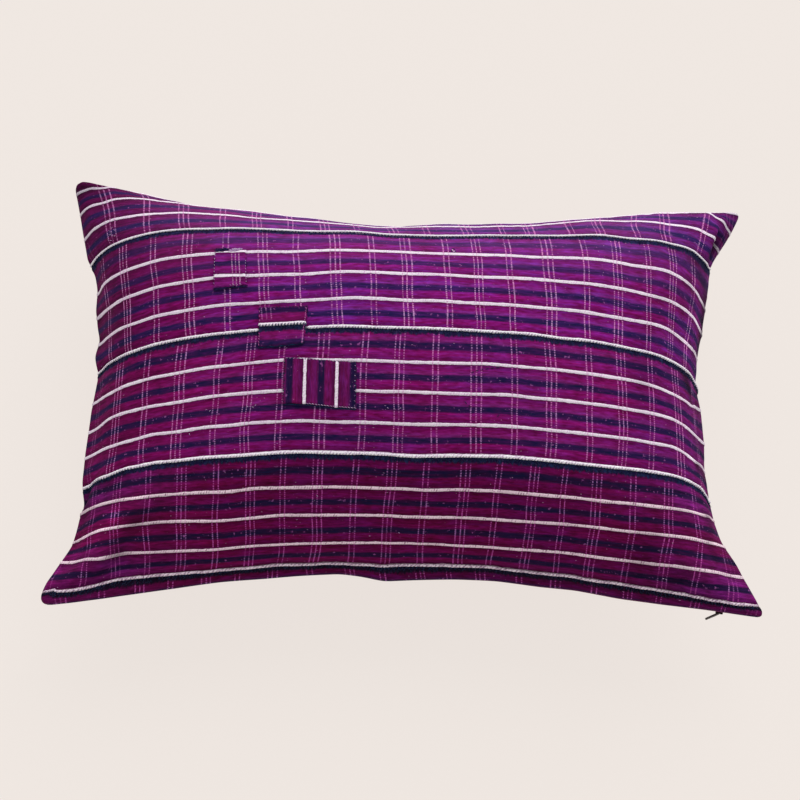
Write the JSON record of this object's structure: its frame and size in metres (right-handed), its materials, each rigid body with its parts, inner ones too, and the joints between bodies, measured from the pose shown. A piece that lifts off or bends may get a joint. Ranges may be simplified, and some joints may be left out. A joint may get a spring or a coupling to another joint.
{
  "type": "lumbar pillow",
  "caption": "Very full rectangular lumbar pillow with drawn-in sides and pointed corners, its front pieced from striped hand-woven strips with small mending patches.",
  "frame": {"origin": "on the resting plane, under the middle of the pillow's bounding box", "axes": "+X to the right across the striped front, +Y towards the pillow's top edge, +Z out of the front, which faces up"},
  "size_m": [0.608, 0.398, 0.1969],
  "materials": {
    "back_cloth": "plain-woven wine cotton, matt, slightly slubbed",
    "woven_cloth": "hand-woven magenta cloth with navy and off-white warp stripes and thin pink weft lines, matt with a faint sheen",
    "patch_cloth": "the same hand-woven cloth, hemmed and sewn down by hand",
    "zip_metal": "dark antiqued metal, worn at the edges"
  },
  "bodies": {
    "root": {"cushion_body": "back_cloth", "front_strip_1": "woven_cloth", "front_strip_2": "woven_cloth", "front_strip_3": "woven_cloth", "front_strip_4": "woven_cloth", "front_strip_5": "woven_cloth", "patch_small": "patch_cloth", "patch_seam": "patch_cloth", "patch_striped": "patch_cloth", "zip_pull": "zip_metal"}
  },
  "joints": []
}
